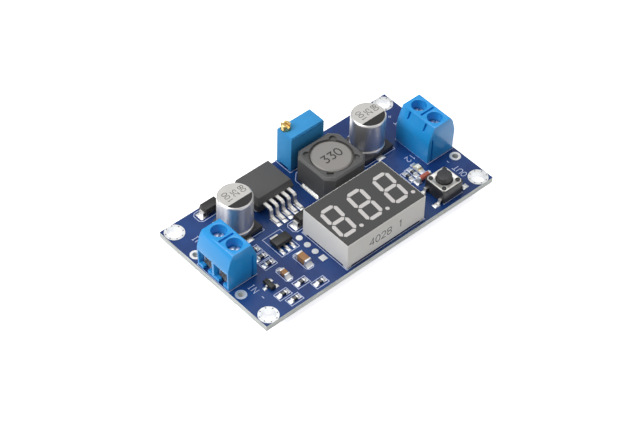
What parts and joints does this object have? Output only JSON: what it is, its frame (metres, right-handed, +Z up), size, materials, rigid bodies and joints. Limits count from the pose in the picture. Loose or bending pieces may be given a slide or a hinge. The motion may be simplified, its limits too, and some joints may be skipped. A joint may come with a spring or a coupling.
{
  "type": "buck converter module",
  "caption": "Step-down voltage converter board with screw terminals for input and output, a multi-turn voltage trimmer, a voltmeter display and a setting switch.",
  "frame": {"origin": "centre of the board in plan, at the tips of the soldered pins below the board", "axes": "+X along the board from the input terminal to the output terminal, +Y from the display's side to the trimmer's side, +Z up out of the component side"},
  "size_m": [0.066, 0.035, 0.0146],
  "materials": {
    "board_laminate": "glossy solder mask over glass laminate",
    "tin_plating": "hot-tinned copper",
    "solder": "bright solder",
    "terminal_plastic": "moulded, satin",
    "contact_strip": "tinned brass",
    "clamp_steel": "zinc-plated, satin",
    "capacitor_can": "drawn, satin",
    "capacitor_base": "moulded, matt",
    "tinned_lead": "matt tin",
    "ferrite_shield": "ground ferrite, dark",
    "ferrite_core": "ground ferrite, grey",
    "copper_wire": "enamelled copper",
    "trimmer_plastic": "moulded, satin",
    "screw_brass": "turned brass",
    "package_epoxy": "moulded epoxy, fine matt",
    "ceramic": "fired ceramic, brown",
    "resistor_glaze": "black glaze over ceramic",
    "lamp_resin": "milky clear resin",
    "lamp_ends": "gold-plated",
    "diode_glass": "red-tinted glass",
    "switch_plastic": "moulded nylon, matt",
    "cover_steel": "pressed sheet, satin",
    "display_plastic": "moulded, fine matt",
    "display_face": "printed dark grey",
    "segment_resin": "diffusing epoxy"
  },
  "bodies": {
    "module": {"circuit_board": "board_laminate", "mounting_hole_plating": "tin_plating", "wire_hole_rings": "tin_plating", "solder_pads": "tin_plating", "solder_joints": "solder", "input_terminal_housing": "terminal_plastic", "input_terminal_contacts": "contact_strip", "output_terminal_housing": "terminal_plastic", "output_terminal_contacts": "contact_strip", "input_capacitor_can": "capacitor_can", "input_capacitor_base": "capacitor_base", "output_capacitor_can": "capacitor_can", "output_capacitor_base": "capacitor_base", "capacitor_leads": "tinned_lead", "inductor_shield": "ferrite_shield", "inductor_drum": "ferrite_core", "inductor_winding": "copper_wire", "inductor_terminals": "tinned_lead", "trimmer_housing": "trimmer_plastic", "trimmer_pins": "tinned_lead", "regulator_body": "package_epoxy", "regulator_lead_frame": "tinned_lead", "input_diode_body": "package_epoxy", "catch_diode_body": "package_epoxy", "diode_leads": "tinned_lead", "small_regulator_body": "package_epoxy", "small_regulator_leads": "tinned_lead", "transistor_body": "package_epoxy", "transistor_leads": "tinned_lead", "ceramic_capacitor_bodies": "ceramic", "ceramic_capacitor_ends": "tinned_lead", "chip_resistor_bodies": "resistor_glaze", "chip_resistor_ends": "tinned_lead", "indicator_led_lens": "lamp_resin", "indicator_led_ends": "lamp_ends", "glass_diode_tube": "diode_glass", "glass_diode_caps": "tinned_lead", "switch_housing": "switch_plastic", "switch_cover": "cover_steel", "switch_dome": "cover_steel", "switch_terminals": "tinned_lead", "display_housing": "display_plastic", "display_face": "display_face", "display_segments": "segment_resin", "display_pins": "tinned_lead", "microcontroller_body": "package_epoxy", "microcontroller_leads": "tinned_lead"},
    "input_screw_a": {"input_clamp_screw_a": "clamp_steel"},
    "input_cage_a": {"input_clamp_cage_a": "clamp_steel"},
    "input_screw_b": {"input_clamp_screw_b": "clamp_steel"},
    "input_cage_b": {"input_clamp_cage_b": "clamp_steel"},
    "output_screw_a": {"output_clamp_screw_a": "clamp_steel"},
    "output_cage_a": {"output_clamp_cage_a": "clamp_steel"},
    "output_screw_b": {"output_clamp_screw_b": "clamp_steel"},
    "output_cage_b": {"output_clamp_cage_b": "clamp_steel"},
    "adjuster": {"trimmer_screw": "screw_brass"},
    "button": {"switch_button": "switch_plastic"}
  },
  "joints": [
    {"name": "input_screw_a_turn", "type": "hinge", "parent": "module", "child": "input_screw_a", "pos_m": [-0.0289, -0.0025, 0.0091], "axis": [0, 0, -1], "range_deg": [0, 1360.5]},
    {"name": "input_cage_a_rise", "type": "slide", "parent": "module", "child": "input_cage_a", "axis": [0, 0, 1], "range_m": [0, 0.0017]},
    {"name": "input_screw_b_turn", "type": "hinge", "parent": "module", "child": "input_screw_b", "pos_m": [-0.0289, 0.0025, 0.0091], "axis": [0, 0, -1], "range_deg": [0, 1360.5]},
    {"name": "input_cage_b_rise", "type": "slide", "parent": "module", "child": "input_cage_b", "axis": [0, 0, 1], "range_m": [0, 0.0017]},
    {"name": "output_screw_a_turn", "type": "hinge", "parent": "module", "child": "output_screw_a", "pos_m": [0.0289, 0.0025, 0.0091], "axis": [0, 0, -1], "range_deg": [0, 1360.5]},
    {"name": "output_cage_a_rise", "type": "slide", "parent": "module", "child": "output_cage_a", "axis": [0, 0, 1], "range_m": [0, 0.0017]},
    {"name": "output_screw_b_turn", "type": "hinge", "parent": "module", "child": "output_screw_b", "pos_m": [0.0289, -0.0025, 0.0091], "axis": [0, 0, -1], "range_deg": [0, 1360.5]},
    {"name": "output_cage_b_rise", "type": "slide", "parent": "module", "child": "output_cage_b", "axis": [0, 0, 1], "range_m": [0, 0.0017]},
    {"name": "adjuster_turn", "type": "hinge", "parent": "module", "child": "adjuster", "pos_m": [0.0017, 0.0162, 0.0141], "axis": [0, 0, 1], "continuous": true},
    {"name": "button_press", "type": "slide", "parent": "module", "child": "button", "axis": [0, 0, -1], "range_m": [0, 0.00025], "stiffness_N_per_m": 800, "springref_m": -0.0005}
  ],
  "couplings": [
    {"joint": "input_screw_a_turn", "follows": "input_cage_a_rise", "rad_per_m": 13963},
    {"joint": "input_screw_b_turn", "follows": "input_cage_b_rise", "rad_per_m": 13963},
    {"joint": "output_screw_a_turn", "follows": "output_cage_a_rise", "rad_per_m": 13963},
    {"joint": "output_screw_b_turn", "follows": "output_cage_b_rise", "rad_per_m": 13963}
  ]
}
